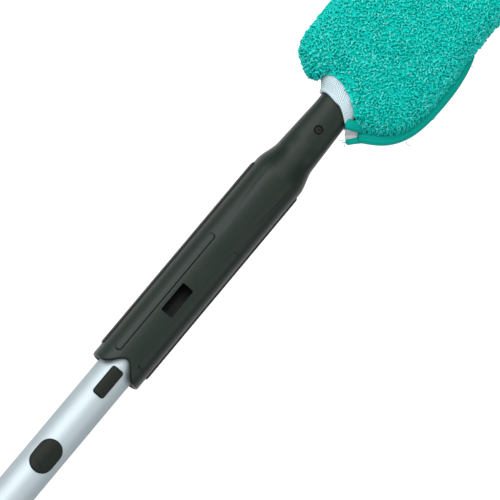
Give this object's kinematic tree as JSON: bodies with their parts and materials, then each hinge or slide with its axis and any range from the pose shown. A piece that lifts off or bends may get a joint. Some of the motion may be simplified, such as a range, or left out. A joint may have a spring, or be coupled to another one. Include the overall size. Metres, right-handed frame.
{
  "type": "flexible microfibre cleaning wand on a quick-connect extension pole",
  "caption": "Flat flexible wand in a green looped microfibre sleeve, with a moulded socket handle that a push-button telescopic aluminium pole slides and locks into.",
  "frame": {"origin": "middle of the object's footprint, on the surface that it lies on", "axes": "+X along the pole towards the wand's tip, +Z out of the side with the latch, so the wand lies on its back"},
  "size_m": [1.213, 0.0998, 0.039],
  "materials": {
    "black_plastic": "fine moulded texture, dark grey, almost black",
    "dark_plastic": "plain moulded, black",
    "soft_rubber": "soft-touch moulded, black",
    "aluminium": "satin anodised, silver",
    "steel": "bright zinc plated",
    "terry": "looped microfibre pile, turquoise green",
    "knit": "fine elastic knit, white"
  },
  "bodies": {
    "wand": {"handle_front_shell": "black_plastic", "handle_back_shell": "black_plastic", "side_grip_left": "soft_rubber", "side_grip_right": "soft_rubber", "neck_screw": "steel", "shell_screw_1": "steel", "shell_screw_2": "steel", "frame_root": "dark_plastic", "hinge_pin_1": "steel", "sleeve_root": "terry", "cuff_band": "knit", "seam_binding": "terry"},
    "link_1": {"frame_link_1": "dark_plastic", "hinge_pin_2": "steel", "sleeve_1": "terry"},
    "link_2": {"frame_link_2": "dark_plastic", "hinge_pin_3": "steel", "sleeve_2": "terry"},
    "link_3": {"frame_link_3": "dark_plastic", "sleeve_3": "terry"},
    "upper_pole": {"upper_tube": "aluminium", "tip_plug": "dark_plastic", "latch_housing": "dark_plastic", "housing_rivet_1": "steel", "housing_rivet_2": "steel", "glide_bush": "dark_plastic", "latch_spring_tip": "steel", "latch_spring_foot": "steel"},
    "latch": {"latch_bar": "dark_plastic", "lock_lug": "dark_plastic", "release_button": "dark_plastic"},
    "lower_pole": {"lower_tube": "aluminium", "collet": "dark_plastic", "grip_sleeve": "soft_rubber", "end_cap": "black_plastic"},
    "collar": {"twist_collar": "black_plastic", "wiper_ring": "soft_rubber"}
  },
  "joints": [
    {"name": "pole_insert", "type": "slide", "parent": "wand", "child": "upper_pole", "axis": [1, 0, 0], "range_m": [-0.042, 0.0668]},
    {"name": "flex_1", "type": "hinge", "parent": "wand", "child": "link_1", "pos_m": [0.2035, 0.00245, 0.0195], "axis": [0, 1, 0], "range_deg": [-30, 30]},
    {"name": "flex_2", "type": "hinge", "parent": "link_1", "child": "link_2", "pos_m": [0.3335, 0.00245, 0.0195], "axis": [0, 1, 0], "range_deg": [-30, 30]},
    {"name": "flex_3", "type": "hinge", "parent": "link_2", "child": "link_3", "pos_m": [0.4635, 0.00245, 0.0195], "axis": [0, 1, 0], "range_deg": [-30, 30]},
    {"name": "latch_press", "type": "slide", "parent": "upper_pole", "child": "latch", "axis": [0, 0, -1], "range_m": [0, 0.0024], "stiffness_N_per_m": 2500, "springref_m": -0.002, "deforming": ["latch_spring_tip", "latch_spring_foot"]},
    {"name": "telescope", "type": "slide", "parent": "upper_pole", "child": "lower_pole", "axis": [-1, 0, 0], "range_m": [0, 0.24]},
    {"name": "collar_twist", "type": "hinge", "parent": "lower_pole", "child": "collar", "pos_m": [-0.2485, 0.00245, 0.0195], "axis": [1, 0, 0], "range_deg": [0, 100]}
  ],
  "couplings": [
    {"joint": "flex_2", "follows": "flex_1", "ratio": 1},
    {"joint": "flex_3", "follows": "flex_1", "ratio": 1}
  ]
}
